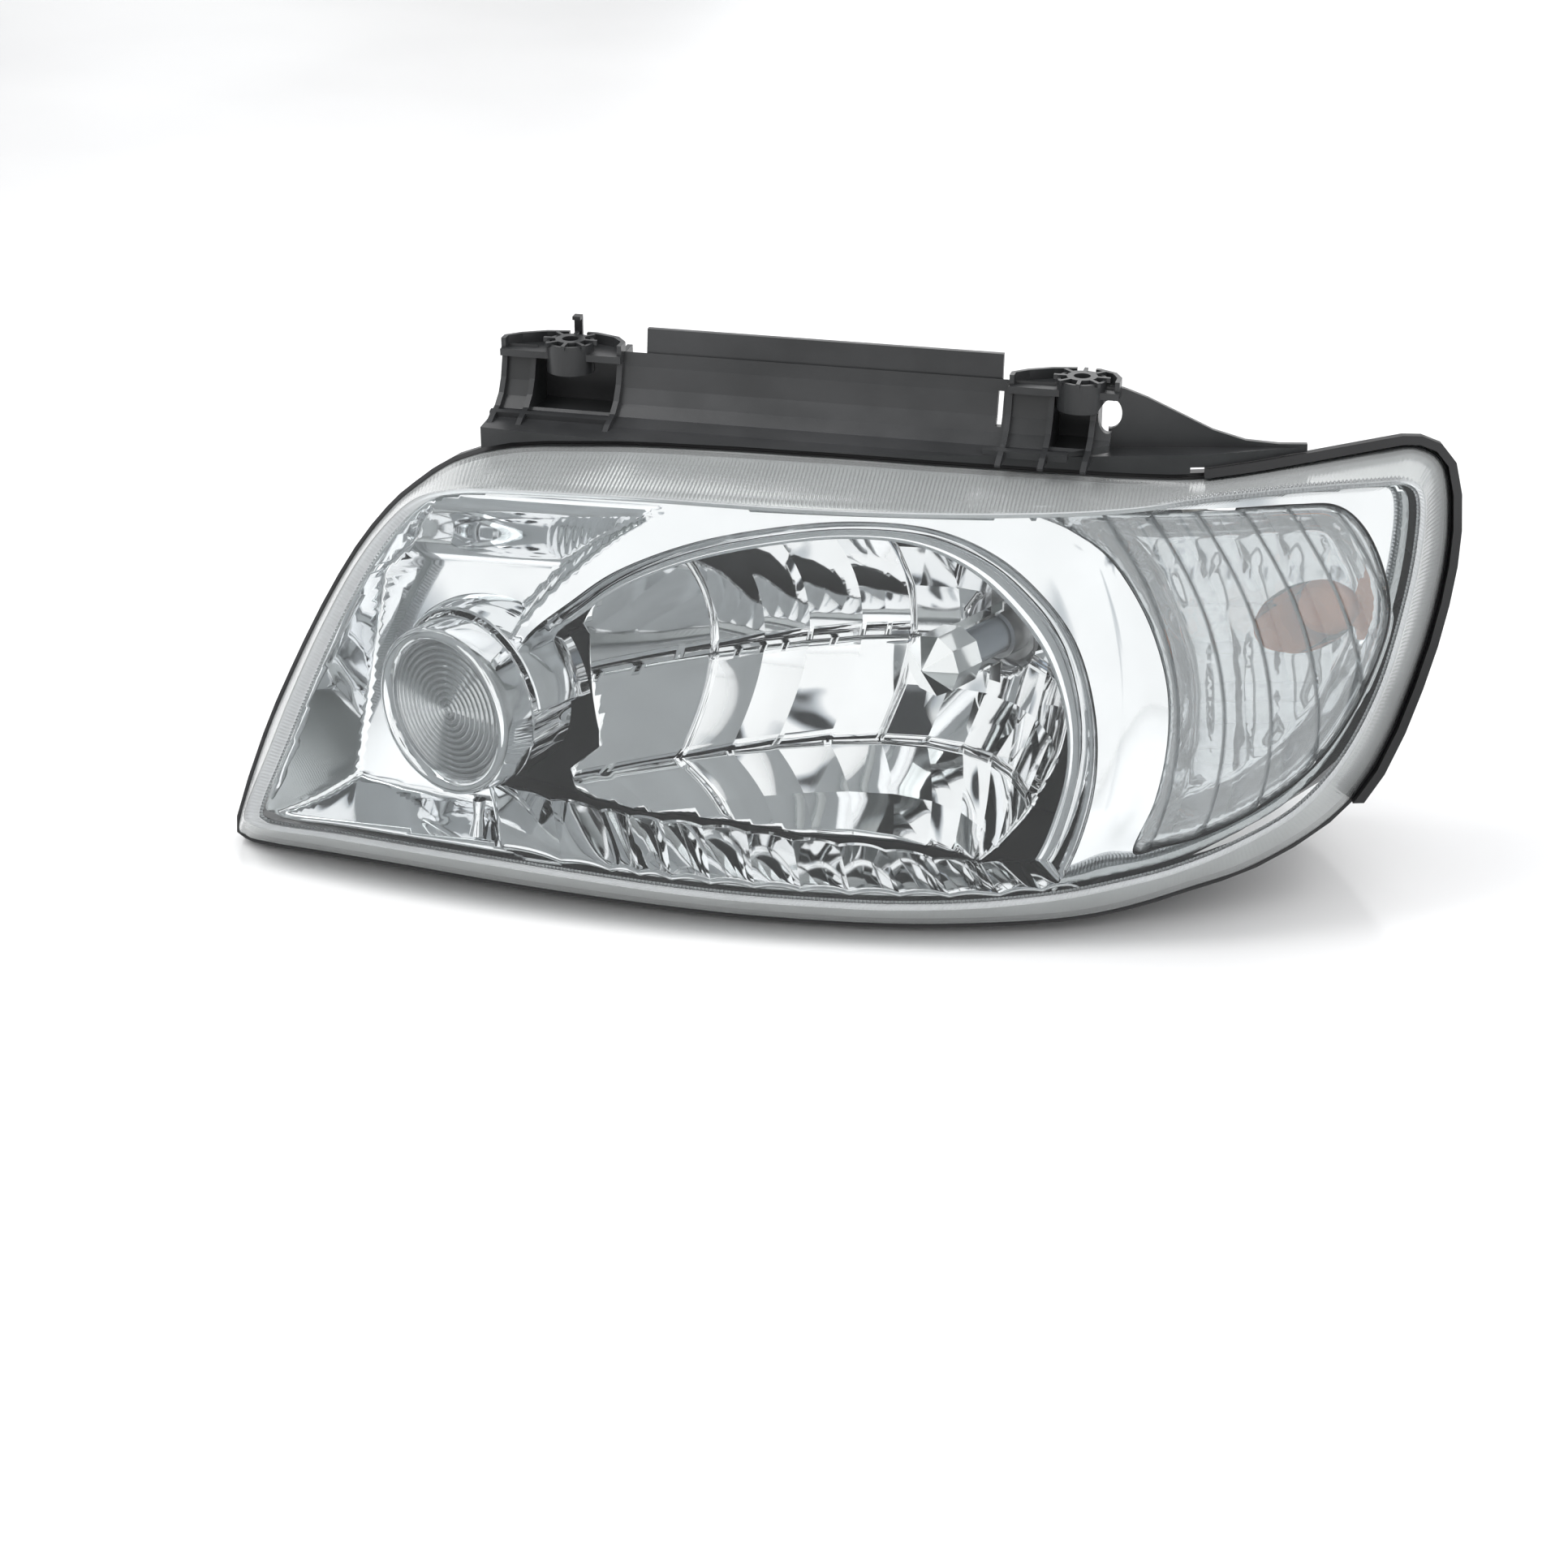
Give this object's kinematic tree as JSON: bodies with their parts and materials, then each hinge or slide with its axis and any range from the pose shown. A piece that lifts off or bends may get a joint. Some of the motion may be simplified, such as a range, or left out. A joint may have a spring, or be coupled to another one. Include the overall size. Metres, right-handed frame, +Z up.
{
  "type": "car headlight assembly",
  "caption": "Wraparound car headlight with clear lens, faceted main reflector on an aiming frame, round position lamp, amber turn signal and a screw-on top bracket.",
  "frame": {"origin": "on the surface the lamp stands on, under the middle of its bounding box", "axes": "-Y forward along the beam, +X outboard towards the fender, +Z up"},
  "size_m": [0.4423, 0.3786, 0.23],
  "materials": {
    "housing_plastic": "moulded glass-filled polypropylene, fine grain",
    "clear_lens": "clear hard-coated polycarbonate",
    "seal_rubber": "black EPDM rubber",
    "bracket_plastic": "dark grey moulded plastic with dust in the corners",
    "zinc_steel": "zinc plated",
    "black_plastic": "black moulded plastic",
    "chromed_plastic": "vacuum metallised plastic",
    "reflector_chrome": "vacuum metallised reflector",
    "position_lens_clear": "clear moulded plastic with ring prisms",
    "fluted_lens": "clear moulded plastic with upright flutes",
    "brass_pins": "tinned brass",
    "white_nylon": "natural nylon",
    "shield_chrome": "bright pressed steel",
    "bulb_steel": "nickel plated",
    "bulb_glass": "clear quartz glass",
    "spring_steel": "spring wire",
    "holder_plastic": "grey moulded plastic",
    "amber_glass": "amber coated glass"
  },
  "bodies": {
    "housing": {"housing": "housing_plastic", "outer_lens": "clear_lens", "lens_sealant": "seal_rubber", "edge_seal": "seal_rubber", "top_bracket": "bracket_plastic", "bracket_screws": "zinc_steel", "locating_clip": "black_plastic", "bezel": "chromed_plastic", "position_barrel": "chromed_plastic", "position_trim_ring": "chromed_plastic", "position_reflector": "reflector_chrome", "position_lens": "position_lens_clear", "turn_lens": "fluted_lens", "turn_reflector": "reflector_chrome", "pivot_stud": "zinc_steel", "level_motor": "black_plastic", "level_motor_cover": "black_plastic", "level_motor_pins": "brass_pins", "aim_bushing": "white_nylon", "breather_caps": "seal_rubber"},
    "pivot_socket": {"pivot_socket": "white_nylon"},
    "reflector": {"main_reflector": "reflector_chrome", "aim_frame": "black_plastic", "bulb_shield": "shield_chrome", "main_bulb_flange": "bulb_steel", "main_bulb_glass": "bulb_glass", "main_bulb_filaments": "bulb_steel", "main_bulb_blades": "bulb_steel", "level_socket": "white_nylon", "aim_socket": "white_nylon", "clip_screw": "zinc_steel"},
    "bulb_clip": {"bulb_clip": "spring_steel"},
    "level_rod": {"level_rod": "zinc_steel"},
    "level_wheel": {"level_wheel": "white_nylon"},
    "aim_rod": {"aim_rod": "zinc_steel"},
    "aim_knob": {"aim_knob": "white_nylon"},
    "dust_cap": {"dust_cap": "seal_rubber", "dust_cap_gasket": "seal_rubber"},
    "turn_holder": {"turn_holder": "holder_plastic", "turn_gasket": "seal_rubber", "turn_bulb": "amber_glass", "turn_bulb_base": "bulb_steel", "turn_pins": "brass_pins"},
    "position_holder": {"position_holder": "holder_plastic", "position_gasket": "seal_rubber", "position_bulb": "bulb_glass", "position_pins": "brass_pins"}
  },
  "joints": [
    {"name": "aim_pan", "type": "hinge", "parent": "housing", "child": "pivot_socket", "pos_m": [-0.0209, 0.0433, 0.158], "axis": [0, 0, 1], "range_deg": [-2, 2]},
    {"name": "aim_tilt", "type": "hinge", "parent": "pivot_socket", "child": "reflector", "pos_m": [-0.0209, 0.0433, 0.158], "axis": [1, 0, 0], "range_deg": [-2, 3]},
    {"name": "level_rod_slide", "type": "slide", "parent": "housing", "child": "level_rod", "axis": [0, 1, 0], "range_m": [-0.0045, 0.0068]},
    {"name": "level_wheel_turn", "type": "hinge", "parent": "housing", "child": "level_wheel", "pos_m": [-0.0209, 0.0433, 0.038], "axis": [0, 1, 0], "range_deg": [-510, 760]},
    {"name": "aim_rod_slide", "type": "slide", "parent": "housing", "child": "aim_rod", "axis": [0, 1, 0], "range_m": [-0.0046, 0.0046]},
    {"name": "aim_knob_turn", "type": "hinge", "parent": "housing", "child": "aim_knob", "pos_m": [0.1021, 0.0433, 0.158], "axis": [0, 1, 0], "range_deg": [-520, 520]},
    {"name": "bulb_clip_swing", "type": "hinge", "parent": "reflector", "child": "bulb_clip", "pos_m": [0.0391, 0.0659, 0.066], "axis": [-1, 0, 0], "range_deg": [0, 50]},
    {"name": "dust_cap_twist", "type": "hinge", "parent": "housing", "child": "dust_cap", "pos_m": [0.0391, 0.0983, 0.094], "axis": [0, 1, 0], "range_deg": [0, 30]},
    {"name": "turn_holder_twist", "type": "hinge", "parent": "housing", "child": "turn_holder", "pos_m": [0.1741, 0.1673, 0.125], "axis": [0, 1, 0], "range_deg": [0, 45]},
    {"name": "position_holder_twist", "type": "hinge", "parent": "housing", "child": "position_holder", "pos_m": [-0.1149, -0.0367, 0.079], "axis": [0, 1, 0], "range_deg": [0, 45]}
  ],
  "couplings": [
    {"joint": "level_rod_slide", "follows": "aim_tilt", "m_per_rad": 0.12},
    {"joint": "level_wheel_turn", "follows": "aim_tilt", "ratio": 251.33},
    {"joint": "aim_rod_slide", "follows": "aim_pan", "m_per_rad": 0.123},
    {"joint": "aim_knob_turn", "follows": "aim_pan", "ratio": 257.61}
  ]
}
